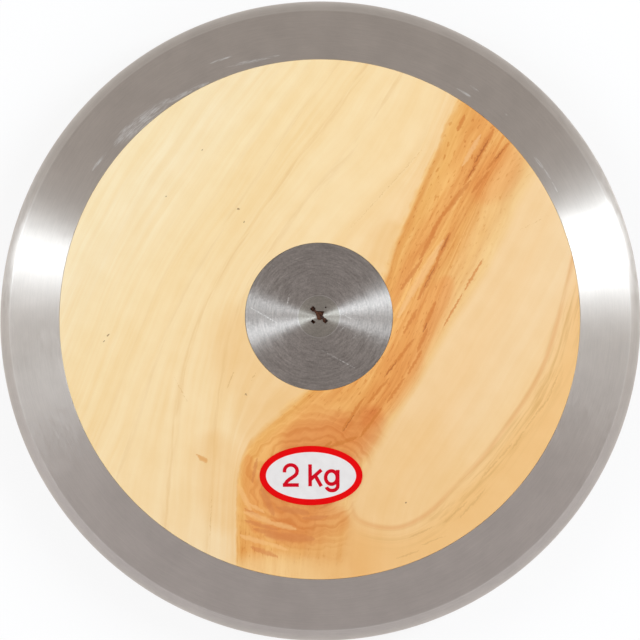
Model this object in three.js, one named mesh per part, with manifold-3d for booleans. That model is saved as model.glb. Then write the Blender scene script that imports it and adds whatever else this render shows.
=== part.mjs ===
// Throwing discus of the two-kilogram class, built as it comes apart on a bench.
// Millimetres. The disc's axis is +Z, the labelled face looks up, and the origin is its centre.
import * as THREE from "three";
import { mergeVertices } from "three/addons/utils/BufferGeometryUtils.js";
import Module from "manifold-3d";

// Whole disc
const outerDiameter = 220;
const centreThickness = 45;
const flatDiameter = 50; // the level middle, which the plate fills
const edgeRadius = 6.25; // section of the rounded edge
const creaseInset = 3.6; // how far inside the edge the straight taper starts

// Steel rim
const rimWidth = 21; // steel that shows on each face, in from the edge
const webThickness = 2;
const webDepth = 7;

// Centre plates
const plateThickness = 3;
const screwHole = 8.4;

// Countersunk screws
const headDiameter = 14;
const shankDiameter = 8;
const screwLength = 17;
const tipChamfer = 1;

// Threaded sleeve through the core
const sleeveDiameter = 12;
const sleeveChamfer = 0.5;

// Trim washers, turned to the thickness that gives the disc its class weight
const trimDiameter = 30;
const trimThickness = 0.8;

// Dowels through the web
const dowelCount = 4;
const dowelDiameter = 4;
const dowelLength = 12;
const dowelChamfer = 0.5;

// Oval sticker
const labelWidth = 35;
const labelHeight = 20.5;
const labelRight = -2.8; // its centre, to the right of the disc's axis
const labelBelowShare = 0.45; // and how far down the wood, from the plate to the rim
const labelThickness = 0.25;

// Fits
const glueLine = 0.15; // between wood and what it is glued to
const slipFit = 0.1; // round the plates, sleeve, dowels and screw shanks
const headFit = 0.08; // round each screw head
const stickerFilm = 0.05; // adhesive under the sticker
const overrun = 2; // how far a cutting tool runs past a face

// Facets
const discFacets = 96;
const smallFacets = 48;
const dowelFacets = 24;
const edgeFacets = 12;
const ovalFacets = 32;

const outerRadius = outerDiameter / 2;
const halfThickness = centreThickness / 2;
const flatRadius = flatDiameter / 2;
const woodRadius = outerRadius - rimWidth;
const headRadius = headDiameter / 2;
const shankRadius = shankDiameter / 2;
const sleeveRadius = sleeveDiameter / 2;
const trimRadius = trimDiameter / 2;
const dowelRadius = dowelDiameter / 2;
const screwHoleRadius = screwHole / 2;

// The rounded edge is a circle about edgeCentre, and the taper runs from the flat to its crease.
const edgeCentre = outerRadius - edgeRadius;
const creaseRadius = outerRadius - creaseInset;
const creaseAngle = Math.acos((creaseRadius - edgeCentre) / edgeRadius);
const creaseHeight = edgeRadius * Math.sin(creaseAngle);
const taper = (halfThickness - creaseHeight) / (creaseRadius - flatRadius);
const plateSeat = halfThickness - plateThickness - glueLine;
const dowelCircle = woodRadius - webDepth / 2;
const labelBelow = flatRadius + labelBelowShare * (woodRadius - flatRadius);

const wasm = await Module();
wasm.setup();

const steel = { color: 0xb4b1ad, metalness: 1, roughness: 0.38 };
const zinc = { color: 0xa9a6a0, metalness: 1, roughness: 0.5 };
const board = { color: 0xeecb98, metalness: 0, roughness: 0.35 };
const beech = { color: 0xc9a878, metalness: 0, roughness: 0.7 };
const vinyl = { color: 0xf2f2f0, metalness: 0, roughness: 0.45 };

// Height of the straight taper above the middle plane
function taperHeight(radius) {
  return halfThickness - taper * (radius - flatRadius);
}

// A closed outline of [radius, height] pairs turned about the disc's axis
function turned(outline, facets) {
  const points = outline.map(([radius, height]) => new THREE.Vector2(radius, height));
  return new THREE.LatheGeometry(points, facets).rotateX(Math.PI / 2);
}

function toSolid(geometry) {
  const bare = geometry.clone();
  bare.deleteAttribute("normal");
  bare.deleteAttribute("uv");
  const merged = mergeVertices(bare);
  const vertProperties = merged.attributes.position.array;
  const triVerts = new Uint32Array(merged.index.array);
  return new wasm.Manifold(new wasm.Mesh({ numProp: 3, vertProperties, triVerts }));
}

function toGeometry(solid) {
  const { vertProperties, triVerts } = solid.getMesh();
  const geometry = new THREE.BufferGeometry();
  geometry.setAttribute("position", new THREE.BufferAttribute(vertProperties, 3));
  geometry.setIndex(new THREE.BufferAttribute(triVerts, 1));
  geometry.computeVertexNormals();
  return geometry;
}

function piece(name, geometry, finish) {
  const mesh = new THREE.Mesh(geometry, new THREE.MeshStandardMaterial(finish));
  mesh.name = name;
  return mesh;
}

function dowelPlace(index) {
  const angle = (2 * Math.PI * (index + 1 / 2)) / dowelCount;
  return [dowelCircle * Math.cos(angle), dowelCircle * Math.sin(angle)];
}

// Takes the dowel holes out of a piece that the dowels pass through or end in
function drilled(geometry) {
  let solid = toSolid(geometry);
  const radius = dowelRadius + slipFit;
  const length = dowelLength + 2 * glueLine;
  for (let i = 0; i < dowelCount; i += 1) {
    const [x, y] = dowelPlace(i);
    const drill = new THREE.CylinderGeometry(radius, radius, length, dowelFacets);
    drill.rotateX(Math.PI / 2).translate(x, y, 0);
    solid = solid.subtract(toSolid(drill));
  }
  return toGeometry(solid);
}

// Rim: the two tapers, the round edge between their creases, and the web inside
function rimGeometry() {
  const webInside = woodRadius - webDepth;
  const webFace = webThickness / 2;
  const outline = [
    [webInside, -webFace],
    [woodRadius, -webFace],
    [woodRadius, -taperHeight(woodRadius)],
  ];
  for (let i = 0; i <= edgeFacets; i += 1) {
    const angle = creaseAngle * ((2 * i) / edgeFacets - 1);
    outline.push([edgeCentre + edgeRadius * Math.cos(angle), edgeRadius * Math.sin(angle)]);
  }
  outline.push([woodRadius, taperHeight(woodRadius)], [woodRadius, webFace], [webInside, webFace]);
  outline.push(outline[0]);
  return drilled(turned(outline, discFacets));
}

// Wooden half: the taper outside, and pockets for the sleeve, trim washer, plate and web inside
function woodHalfGeometry() {
  const bore = sleeveRadius + slipFit;
  const trimPocket = trimRadius + slipFit;
  const trimSeat = plateSeat - trimThickness - glueLine;
  const platePocket = flatRadius + slipFit;
  const rebateInside = woodRadius - webDepth - glueLine;
  const rebateFloor = webThickness / 2 + glueLine;
  const outside = woodRadius - glueLine;
  const outline = [
    [bore, glueLine / 2],
    [rebateInside, glueLine / 2],
    [rebateInside, rebateFloor],
    [outside, rebateFloor],
    [outside, taperHeight(outside)],
    [platePocket, taperHeight(platePocket)],
    [platePocket, plateSeat],
    [trimPocket, plateSeat],
    [trimPocket, trimSeat],
    [bore, trimSeat],
    [bore, glueLine / 2],
  ];
  return drilled(turned(outline, discFacets));
}

// Plate: flat disc, countersunk at ninety degrees for the screw head
function plateGeometry() {
  const underside = halfThickness - plateThickness;
  const mouth = headRadius + headFit;
  const outline = [
    [screwHoleRadius, underside],
    [flatRadius, underside],
    [flatRadius, halfThickness],
    [mouth, halfThickness],
    [screwHoleRadius, halfThickness - (mouth - screwHoleRadius)],
    [screwHoleRadius, underside],
  ];
  return turned(outline, discFacets);
}

// Trim washer: sits in its pocket round the sleeve, just under the plate
function trimWasherGeometry() {
  const top = plateSeat;
  const bottom = plateSeat - trimThickness;
  const inside = sleeveRadius + slipFit;
  const outline = [
    [inside, bottom],
    [trimRadius, bottom],
    [trimRadius, top],
    [inside, top],
    [inside, bottom],
  ];
  return turned(outline, smallFacets);
}

// Screw: ninety-degree head turned flush, then the shank down into the sleeve
function screwGeometry() {
  const headBottom = halfThickness - (headRadius - shankRadius);
  const tip = halfThickness - screwLength;
  const outline = [
    [0, tip],
    [shankRadius - tipChamfer, tip],
    [shankRadius, tip + tipChamfer],
    [shankRadius, headBottom],
    [headRadius, halfThickness],
    [0, halfThickness],
  ];
  return turned(outline, smallFacets);
}

// Sleeve: reaches from plate to plate, bored for the screws and chamfered at both mouths
function sleeveGeometry() {
  const end = halfThickness - plateThickness - glueLine;
  const bore = shankRadius + slipFit;
  const outline = [
    [bore, -end + sleeveChamfer],
    [bore + sleeveChamfer, -end],
    [sleeveRadius - sleeveChamfer, -end],
    [sleeveRadius, -end + sleeveChamfer],
    [sleeveRadius, end - sleeveChamfer],
    [sleeveRadius - sleeveChamfer, end],
    [bore + sleeveChamfer, end],
    [bore, end - sleeveChamfer],
    [bore, -end + sleeveChamfer],
  ];
  return turned(outline, smallFacets);
}

// Dowel: chamfered at both ends
function dowelGeometry() {
  const end = dowelLength / 2;
  const outline = [
    [0, -end],
    [dowelRadius - dowelChamfer, -end],
    [dowelRadius, -end + dowelChamfer],
    [dowelRadius, end - dowelChamfer],
    [dowelRadius - dowelChamfer, end],
    [0, end],
  ];
  return turned(outline, dowelFacets);
}

// Sticker: the oval that an upright cutter takes out of a thin skin lying on the taper
function labelGeometry() {
  const slope = Math.hypot(1, taper);
  const under = stickerFilm * slope;
  const over = under + labelThickness * slope;
  const inside = labelBelow - labelHeight;
  const outside = labelBelow + labelHeight;
  const skin = turned(
    [
      [inside, taperHeight(inside) + under],
      [outside, taperHeight(outside) + under],
      [outside, taperHeight(outside) + over],
      [inside, taperHeight(inside) + over],
      [inside, taperHeight(inside) + under],
    ],
    discFacets,
  );
  const oval = new THREE.Shape();
  oval.absellipse(labelRight, -labelBelow, labelWidth / 2, labelHeight / 2 / slope, 0, 2 * Math.PI);
  const depth = halfThickness + overrun;
  const cutter = new THREE.ExtrudeGeometry(oval, { depth, curveSegments: ovalFacets, bevelEnabled: false });
  return toGeometry(toSolid(skin).intersect(toSolid(cutter)));
}

// One face of the disc: wooden half, trim washer, plate and screw. The back is the front turned over.
function faceGroup(side) {
  const group = new THREE.Group();
  group.add(piece(side + "_wood_half", woodHalfGeometry(), board));
  group.add(piece(side + "_trim_washer", trimWasherGeometry(), zinc));
  group.add(piece(side + "_plate", plateGeometry(), steel));
  group.add(piece(side + "_screw", screwGeometry(), zinc));
  return group;
}

const discus = new THREE.Group();
discus.add(piece("rim", rimGeometry(), steel));
discus.add(piece("centre_sleeve", sleeveGeometry(), zinc));
for (let i = 0; i < dowelCount; i += 1) {
  const dowel = piece("web_dowel_" + (i + 1), dowelGeometry(), beech);
  dowel.position.set(...dowelPlace(i), 0);
  discus.add(dowel);
}

const front = faceGroup("front");
front.add(piece("weight_label", labelGeometry(), vinyl));
discus.add(front);

const back = faceGroup("back");
back.rotation.x = Math.PI;
discus.add(back);

export default discus;
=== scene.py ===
import math

import bmesh
import bpy
import numpy as np
from mathutils import Matrix, Vector


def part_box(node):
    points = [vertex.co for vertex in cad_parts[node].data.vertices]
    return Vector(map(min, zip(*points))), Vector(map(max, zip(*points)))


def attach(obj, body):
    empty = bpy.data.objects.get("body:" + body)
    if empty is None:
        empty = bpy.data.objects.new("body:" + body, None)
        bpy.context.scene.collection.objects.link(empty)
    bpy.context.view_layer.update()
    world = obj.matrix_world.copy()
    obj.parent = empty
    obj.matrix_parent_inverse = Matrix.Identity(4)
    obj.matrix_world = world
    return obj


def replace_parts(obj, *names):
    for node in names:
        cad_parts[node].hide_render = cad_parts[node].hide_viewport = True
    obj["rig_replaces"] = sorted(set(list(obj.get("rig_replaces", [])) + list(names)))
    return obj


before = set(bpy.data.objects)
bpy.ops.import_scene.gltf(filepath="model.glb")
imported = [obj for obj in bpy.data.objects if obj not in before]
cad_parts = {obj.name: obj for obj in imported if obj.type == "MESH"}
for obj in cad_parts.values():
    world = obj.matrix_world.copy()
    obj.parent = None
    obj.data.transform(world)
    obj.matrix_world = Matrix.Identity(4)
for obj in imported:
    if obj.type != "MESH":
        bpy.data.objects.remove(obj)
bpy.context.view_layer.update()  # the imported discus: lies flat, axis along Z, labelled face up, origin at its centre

MM = 0.001

# Camera. The disc was photographed from above, a little from the label's side and from the right,
# with its widest circle just filling the frame.
CAMERA_DISTANCE = 1.6
LEAN_TO_LABEL = math.radians(3.0)
LEAN_TO_RIGHT = math.radians(0.9)
SENSOR_WIDTH = 36.0
CLIP_END = 100.0
disc_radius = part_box("rim")[1][0]
floor_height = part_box("back_plate")[0][2]

to_camera = Vector((math.sin(LEAN_TO_RIGHT), -math.sin(LEAN_TO_LABEL), 1)).normalized()
image_right = Vector((0, 1, 0)).cross(to_camera).normalized()
image_up = to_camera.cross(image_right)
camera_data = bpy.data.cameras.new("camera")
camera_data.sensor_width = SENSOR_WIDTH
camera_data.lens = SENSOR_WIDTH * CAMERA_DISTANCE / (2 * disc_radius)
camera_data.clip_end = CLIP_END
camera = bpy.data.objects.new("camera", camera_data)
bpy.context.scene.collection.objects.link(camera)
turn = Matrix((image_right, image_up, to_camera)).transposed()
camera.matrix_world = Matrix.Translation(to_camera * CAMERA_DISTANCE) @ turn.to_4x4()
bpy.context.scene.camera = camera
bpy.context.scene.view_settings.view_transform = "Standard"


# Studio. A white table in a light tent, darker overhead where the camera looks in, and two upright
# strip softboxes, one left and one right, whose reflections are the bright fans on the turned steel.
def linear(colour):
    """The linear RGBA of an sRGB hex colour."""
    parts = [int(colour[i : i + 2], 16) / 255 for i in (1, 3, 5)]
    return [p / 12.92 if p <= 0.04045 else ((p + 0.055) / 1.055) ** 2.4 for p in parts] + [1.0]


def connect(tree, node, inputs):
    """Gives inputs their values, or links them to a socket or to the first output of a node. A dict names
    the inputs, and a list takes them in the order in which the node shows them."""
    if isinstance(inputs, dict):
        pairs = [(node.inputs[name], value) for name, value in inputs.items()]
    else:
        pairs = zip([socket for socket in node.inputs if socket.enabled], inputs)
    for socket, value in pairs:
        if isinstance(value, bpy.types.Node):
            value = next(output for output in value.outputs if output.enabled)
        if isinstance(value, bpy.types.NodeSocket):
            tree.links.new(value, socket)
        else:
            socket.default_value = value


def add(tree, kind, inputs=(), stops=(), **settings):
    """Adds one node with its settings, its inputs and the stops of its colour ramp. A map range reads
    its value, then the two ends that it comes from and the two that it goes to."""
    node = tree.nodes.new("ShaderNode" + kind)
    for name, value in settings.items():
        setattr(node, name, value)
    connect(tree, node, inputs)
    for number, (place, colour) in enumerate(stops):
        ramp = node.color_ramp.elements
        stop = ramp[number] if number < 2 else ramp.new(place)
        stop.position = place
        stop.color = linear(colour)
    return node


def new_material(name):
    material = bpy.data.materials.new(name)
    material.use_nodes = True
    return material, material.node_tree, material.node_tree.nodes["Principled BSDF"]


BLEND = {"data_type": "RGBA"}
SHADE = {"data_type": "RGBA", "blend_type": "MULTIPLY"}
TABLE_SIZE = 24.0
TABLE_GLOW = 0.82  # how much of what the camera and the reflections see of it is plain white
TENT_BRIGHTNESS = 1.67
TENT_SIDES = 0.2  # how much brighter it is towards the softboxes
SOFTBOX_DISTANCE = 1.2
SOFTBOX_TILT = math.radians(40)
SOFTBOX_HEIGHT = 0.85
SOFTBOX_COLOUR = "#e4f3ff"
SOFTBOXES = ((163.5, 0.13, 2.1), (19, 0.19, 4.5))  # azimuth in degrees, width in metres, power in watts

bpy.ops.object.select_all(action="DESELECT")
bpy.ops.mesh.primitive_plane_add(size=TABLE_SIZE, location=(0, 0, floor_height))
table = bpy.context.object
table.name = "table"
paint, tree, shader = new_material("white_table")
connect(tree, shader, {"Base Color": linear("#fdfdfd"), "Roughness": 0.9})
rays = add(tree, "LightPath")
seen = rays.outputs["Is Camera Ray"]
for ray in ("Is Glossy Ray", "Is Transmission Ray"):
    seen = add(tree, "Math", [seen, rays.outputs[ray]], operation="MAXIMUM")
share = add(tree, "Math", [seen, TABLE_GLOW], operation="MULTIPLY")
glow = add(tree, "Emission", [linear("#ffffff"), 1.0])
connect(tree, tree.nodes["Material Output"], {"Surface": add(tree, "MixShader", [share, shader, glow])})
table.data.materials.append(paint)

world = bpy.data.worlds.new("studio")
world.use_nodes = True
sky = world.node_tree
right, up, overhead = add(sky, "SeparateXYZ", [add(sky, "TexCoord").outputs["Generated"]]).outputs
tent = add(sky, "ValToRGB", [overhead], stops=(
    (0.0, "#a8a8a8"), (0.5, "#b4b4b4"), (0.7, "#fffaf6"), (0.985, "#48413b")))
# The tent is brighter towards the softboxes, and brighter and cooler on the label's side.
cloth = add(sky, "ValToRGB", [add(sky, "MapRange", [up, -1.0, 1.0])], stops=(
    (0.3, "#f3f6ff"), (0.5, "#e4e4e4"), (0.7, "#dcdcdc")))
sideways = add(sky, "Math", [right, 2.0], operation="POWER")
sideways = add(sky, "Math", [sideways, TENT_SIDES, 1.0], operation="MULTIPLY_ADD")
connect(sky, sky.nodes["Background"], {
    "Color": add(sky, "Mix", [1.0, tent, cloth], **SHADE),
    "Strength": add(sky, "Math", [sideways, TENT_BRIGHTNESS], operation="MULTIPLY")})
bpy.context.scene.world = world

for number, (azimuth, width, power) in enumerate(SOFTBOXES):
    azimuth = math.radians(azimuth)
    outward = Vector((math.cos(azimuth), math.sin(azimuth), 0)) * math.sin(SOFTBOX_TILT)
    outward.z = math.cos(SOFTBOX_TILT)
    lamp_data = bpy.data.lights.new(f"softbox_{number + 1}", "AREA")
    lamp_data.shape = "RECTANGLE"
    lamp_data.size = width
    lamp_data.size_y = SOFTBOX_HEIGHT
    lamp_data.energy = power
    lamp_data.color = linear(SOFTBOX_COLOUR)[:3]
    lamp = bpy.data.objects.new(lamp_data.name, lamp_data)
    bpy.context.scene.collection.objects.link(lamp)
    lamp.location = outward * SOFTBOX_DISTANCE
    lamp.rotation_euler = outward.to_track_quat("Z", "Y").to_euler()


# Rim. One steel ring turned all over: a straight taper on each face, a rounded edge between the two
# creases, and inside it the thin web that the wooden halves are glued to, drilled for the dowels.
EDGE_RADIUS = 6.25 * MM
EDGE_STEPS = 96
CREASE_INSET = 3.6 * MM
CREASE_BLEND = 0.2 * MM
RIM_WIDTH = 21 * MM
WEB_DEPTH = 7 * MM
WEB_THICKNESS = 2 * MM
EDGE_BREAK = 0.12 * MM
RIM_STEPS = 512
RIM_SMOOTH = math.radians(16)
ROUND_OFF = 0.002 * MM  # keeps the turned edge from coming out a hair wider than the frame
SLIP_FIT = 0.1 * MM
GLUE_LINE = 0.15 * MM
DOWELS = ("web_dowel_1", "web_dowel_2", "web_dowel_3", "web_dowel_4")
DOWEL_STEPS = 32
NEAR = 0.01 * MM  # points this close to a place are picked by it
DOUBLE = 0.001 * MM  # points this close to each other are one point

flat_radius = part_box("front_plate")[1][0]
half_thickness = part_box("front_plate")[1][2]
wood_radius = disc_radius - RIM_WIDTH
web_radius = wood_radius - WEB_DEPTH
web_face = WEB_THICKNESS / 2
crease_radius = disc_radius - CREASE_INSET
edge_centre = disc_radius - EDGE_RADIUS
crease_height = math.sqrt(EDGE_RADIUS**2 - (crease_radius - edge_centre) ** 2)
taper = (half_thickness - crease_height) / (crease_radius - flat_radius)


def taper_height(radius):
    """How high the straight taper lies above the middle plane."""
    return half_thickness - taper * (radius - flat_radius)


def start_piece(name, primitive, **size):
    """Adds a primitive, with nothing else selected, and opens it in edit mode."""
    bpy.ops.object.select_all(action="DESELECT")
    primitive(**size)
    bpy.context.object.name = name
    bpy.ops.object.mode_set(mode="EDIT")
    bpy.ops.mesh.select_all(action="SELECT")
    return bpy.context.object


def pick(piece, kind, wanted):
    """In edit mode, selects the faces, edges or vertices whose middle and normal (or run) pass the test."""
    bpy.ops.mesh.select_mode(type=kind)
    shape = bmesh.from_edit_mesh(piece.data)
    for item in {"FACE": shape.faces, "EDGE": shape.edges, "VERT": shape.verts}[kind]:
        corners = [piece.matrix_world @ point.co for point in ([item] if kind == "VERT" else item.verts)]
        middle = sum(corners, Vector()) / len(corners)
        item.select_set(wanted(middle, corners[1] - corners[0] if kind == "EDGE" else item.normal))
    shape.select_flush_mode()
    bmesh.update_edit_mesh(piece.data)


def extrude_along(path):
    """In edit mode, draws the picked vertex out from each place of a path to the next."""
    for start, end in zip(path, path[1:]):
        step = [there - here for here, there in zip(start, end)]
        bpy.ops.mesh.extrude_vertices_move(TRANSFORM_OT_translate={"value": step})


def close_up():
    """In edit mode, merges what lies double and turns the faces outwards."""
    bpy.ops.mesh.select_all(action="SELECT")
    bpy.ops.mesh.remove_doubles(threshold=DOUBLE)
    bpy.ops.mesh.normals_make_consistent(inside=False)


def settle():
    """Leaves edit mode and puts the piece's place into its mesh."""
    bpy.ops.object.mode_set(mode="OBJECT")
    bpy.ops.object.transform_apply(location=True, rotation=True, scale=True)


def modify(piece, kind, **settings):
    """Gives a piece a modifier with these settings, and applies it."""
    modifier = piece.modifiers.new(kind.lower(), kind)
    for name, value in settings.items():
        setattr(modifier, name, value)
    bpy.context.view_layer.objects.active = piece
    bpy.ops.object.modifier_apply(modifier=modifier.name)


def combine(piece, tools, operation):
    """Cuts tools out of a piece, or joins them to it, and puts them away."""
    bpy.ops.object.select_all(action="DESELECT")
    for tool in tools:
        modify(piece, "BOOLEAN", operation=operation, object=tool)
        bpy.data.objects.remove(tool)
    piece.select_set(True)


def drill_for_dowels(piece):
    """Bores the dowel holes out of a piece that the dowels pass through or end in."""
    drills = []
    for node in DOWELS:
        low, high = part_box(node)
        bpy.ops.object.select_all(action="DESELECT")
        bpy.ops.mesh.primitive_cylinder_add(
            vertices=DOWEL_STEPS, radius=(high[0] - low[0]) / 2 + SLIP_FIT,
            depth=high[2] - low[2] + 2 * GLUE_LINE, location=(low + high) / 2)
        drills.append(bpy.context.object)
    combine(piece, drills, "DIFFERENCE")


def give_material(piece, material):
    piece.data.materials.clear()
    piece.data.materials.append(material)


def finish(piece, material, slot, *nodes, smooth=math.radians(20)):
    """Puts the place into the mesh, and says what the piece is made of and stands for."""
    if piece.mode == "EDIT":
        close_up()
    settle()
    bpy.ops.object.shade_smooth_by_angle(angle=smooth)
    give_material(piece, material)
    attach(piece, "root")
    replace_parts(piece, *nodes)


def turned_over(piece, name, *nodes):
    """A copy for the back, turned over about X, with its own mesh."""
    copy = piece.copy()
    copy.data = piece.data.copy()
    copy.name = name
    copy.parent = None
    copy.matrix_world = Matrix.Identity(4)
    copy.data.transform(Matrix.Rotation(math.pi, 4, "X"))
    bpy.context.scene.collection.objects.link(copy)
    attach(copy, "root")
    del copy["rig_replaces"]
    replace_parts(copy, *nodes)
    return copy


SMOOTH = {"interpolation_type": "SMOOTHSTEP"}
NOISE = (0.3, 0.7)  # nearly all of a noise's values lie between these
SCRATCH_DEPTH = 0.02 * MM


def draw_marks(tree, place, marks):
    """Spindle-shaped marks, 1 along their middle and 0 round them, in the millimetres of the place given.
    Each is the X and Y of its middle, its length, its angle in degrees and its width. A point is in the
    mark while the way from one tip to it and on to the other tip is hardly longer than the mark."""
    drawn = None
    for x, y, length, angle, width in marks:
        reach_x = length / 2 * math.cos(math.radians(angle))
        reach_y = length / 2 * math.sin(math.radians(angle))
        ways = [
            add(tree, "VectorMath", [place, (x + end * reach_x, y + end * reach_y, 0)], operation="DISTANCE")
            for end in (-1, 1)]
        way = add(tree, "Math", ways, operation="ADD")
        mark = add(tree, "MapRange", [way, length, math.hypot(length, width), 1.0, 0.0], **SMOOTH)
        drawn = add(tree, "Math", [drawn, mark], operation="MAXIMUM") if drawn else mark
    return drawn


def tinted(tree, colour, layers):
    """Lays tones over a colour, one after another. Each is where it lies, how strongly, and the tone."""
    for where, strength, tone in layers:
        share = add(tree, "Math", [where, strength], operation="MULTIPLY")
        tone = linear(tone) if isinstance(tone, str) else tone
        colour = add(tree, "Mix", [share, colour, tone], **BLEND)
    return colour


def turned_steel(name, colour, groove, depth, roughness, marks, highlight_ring, ring_highlight):
    """Bare steel straight from the lathe. The tool leaves grooves round the axis, which spread a highlight
    into a fan. They are about 0.1 mm apart and are drawn wider here, so that they show."""
    material, tree, shader = new_material(name)
    place = add(tree, "VectorMath", [add(tree, "TexCoord").outputs["Object"], 1 / MM], operation="SCALE")
    flat = add(tree, "VectorMath", [place, (1, 1, 0)], operation="MULTIPLY")
    radius = add(tree, "VectorMath", [flat], operation="LENGTH")
    outward = add(tree, "VectorMath", [flat], operation="NORMALIZE")
    lift = add(tree, "CombineXYZ", {"Z": add(tree, "Math", [radius, groove], operation="DIVIDE")})
    # Long rings, short scratches of the cloth that the steel was rubbed down with, and blotches 9 mm wide
    patterns = []
    for turns, detail in ((4, 2), (26, 3)):
        turned = add(tree, "VectorMath", [outward, turns], operation="SCALE")
        turned = add(tree, "VectorMath", [turned, lift], operation="ADD")
        patterns.append(add(tree, "TexNoise", [turned, 1, detail, 0.7]))
    rings, scratches = patterns
    blotches = add(tree, "TexNoise", [place, 0.11, 4])
    # The scratches are slightly askew, which frays the edges of the fan.
    skew = add(tree, "MapRange", [scratches, *NOISE, -0.05, 0.05])
    tangent = add(tree, "VectorRotate", {"Vector": outward, "Angle": skew}, rotation_type="Z_AXIS")
    tangent = add(
        tree, "VectorTransform", [tangent], vector_type="VECTOR", convert_from="OBJECT", convert_to="WORLD")
    tint = linear(colour)
    for pattern, spread in ((rings, depth), (scratches, depth), (blotches, 0.04)):
        shade = add(tree, "MapRange", [pattern, *NOISE, 1 - spread, 1 + spread])
        tint = add(tree, "Mix", [1.0, tint, shade], **SHADE)
    front = add(tree, "Math", [add(tree, "SeparateXYZ", [place]).outputs["Z"], 0.0], operation="GREATER_THAN")
    scuffs = add(tree, "Math", [draw_marks(tree, flat, marks), front], operation="MULTIPLY")
    grit = add(tree, "MapRange", [scratches, 0.4, 0.62, 0.0, 0.6])
    scuffs = add(tree, "Math", [scuffs, grit], operation="MULTIPLY")
    # A painted highlight: the ring where two faces meet is tinted lighter, standing in for the highlight along that
    # edge.
    ring = add(tree, "Math", [radius, highlight_ring], operation="SUBTRACT")
    ring = add(tree, "Math", [ring], operation="ABSOLUTE")
    ring = add(tree, "MapRange", [ring, 0.1, 0.4, ring_highlight, 0.0], **SMOOTH)
    # Real scuffs and the painted highlight on the ring both lighten the base colour.
    scuffs_and_highlight = add(tree, "Math", [scuffs, ring], operation="MAXIMUM")
    worn = add(tree, "MapRange", [rings, *NOISE, roughness * (1 - depth), roughness * (1 + depth)])
    connect(tree, shader, {
        "Tangent": tangent,
        "Anisotropic": 1.0,
        "Base Color": tinted(tree, tint, [(scuffs_and_highlight, 1.0, "#f4f1ec")]),
        "Roughness": add(tree, "Math", [scuffs, 0.35, worn], operation="MULTIPLY_ADD"),
        "Normal": add(tree, "Bump", {"Height": scratches, "Strength": 0.3, "Distance": SCRATCH_DEPTH}),
        "Metallic": add(tree, "Math", [scuffs, -0.6, 1.0], operation="MULTIPLY_ADD")})
    return material


RIM_SCUFFS = (
    (-61, 67.5, 25, 40, 5.5), (-64.5, 66.5, 12, 40, 3), (-45.5, 77.5, 17, 26, 2), (-23, 88.5, 19, 12, 1.4),
    (-75.5, 54, 8, 52, 1.4), (-34, 89, 9, 18, 0.8), (49.5, 77.5, 6, 149, 1), (53, 79, 4, 145, 0.7),
    (64, 70, 0.8, 140, 0.7), (75, 53.5, 5, 127, 1.2), (78, 49.5, 4, 124, 0.8), (80.5, 45, 4, 120, 0.7))

rim = start_piece(
    "turned_rim", bpy.ops.mesh.primitive_circle_add, vertices=EDGE_STEPS, radius=EDGE_RADIUS,
    location=(edge_centre - ROUND_OFF, 0, 0), rotation=(math.pi / 2, 0, 0))
bpy.ops.mesh.bisect(plane_co=(crease_radius, 0, 0), plane_no=(1, 0, 0), clear_inner=True)
for side in (1, -1):
    path = [(radius, 0, side * height) for radius, height in (
        (crease_radius, crease_height),
        (wood_radius + EDGE_BREAK, taper_height(wood_radius + EDGE_BREAK)),
        (wood_radius, taper_height(wood_radius) - EDGE_BREAK),
        (wood_radius, web_face),
        (web_radius, web_face))]
    crease = Vector(path[0])
    pick(rim, "VERT", lambda place, normal: (place - crease).length < NEAR)
    extrude_along(path)
pick(rim, "VERT", lambda place, normal: place.x < web_radius + NEAR)
bpy.ops.mesh.edge_face_add()
pick(rim, "VERT", lambda place, normal: abs(place.x - crease_radius) < NEAR)
bpy.ops.mesh.bevel(offset=CREASE_BLEND, segments=3, affect="VERTICES")
bpy.ops.mesh.select_all(action="SELECT")
bpy.ops.mesh.spin(steps=RIM_STEPS, angle=2 * math.pi, center=(0, 0, 0), axis=(0, 0, 1), use_auto_merge=True)
close_up()
settle()
drill_for_dowels(rim)
# The rim's steel gets a painted highlight: a lighter ring along the crease.
rim_steel = turned_steel(
    "turned_bare_steel", colour="#cac1b9", groove=0.4, depth=0.03, roughness=0.34, marks=RIM_SCUFFS,
    highlight_ring=crease_radius / MM, ring_highlight=0.15)
finish(rim, rim_steel, "rim_steel", "rim", smooth=RIM_SMOOTH)


# Dowels. Four short lengths of beech rod, through the web and into both wooden halves, which keep
# the rim from turning on its core. Beech is pale brown with short darker flecks along the rod.
FLECK_FINENESS = (2.5 / MM, 2.5 / MM, 0.3 / MM)  # across the rod, and along it
FLECK_DEPTH = 0.05 * MM

beech, tree, shader = new_material("bare_beech_rod")
rod = add(tree, "Mapping", {"Vector": add(tree, "TexCoord").outputs["Object"], "Scale": FLECK_FINENESS})
flecks = add(tree, "TexNoise", [rod, 1.0, 3.0])
connect(tree, shader, {
    "Base Color": add(tree, "ValToRGB", [flecks], stops=((0.35, "#a97f52"), (0.62, "#d0ac7c"))),
    "Normal": add(tree, "Bump", {"Height": flecks, "Strength": 0.4, "Distance": FLECK_DEPTH}),
    "Roughness": 0.7})
for node in DOWELS:
    give_material(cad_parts[node], beech)


# Wooden halves. Two boards of pale maple-like hardwood with an orange-brown heartwood, glued and
# dowelled to the web from both sides, then turned to the rim's taper, sanded and lacquered satin.
WOOD_STEPS = 512
TAPER_CUTS = 95
POCKET_EDGE = 0.1 * MM
RIM_JOINT = 0.03 * MM  # what the lacquer leaves of the joint round the rim
PORE_DEPTH = 0.03 * MM
FACING = 0.99  # how far a face's normal lies along a direction that picks it
BACK_TURN = math.radians(14)  # the back's board is cut elsewhere from the same plank
BACK_SHIFT = (9, 6)
PALE_STEP = 7.0  # millimetres of pale wood that count as one streak of heartwood
TINY = 1e-6  # keeps a division from meeting zero

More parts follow.
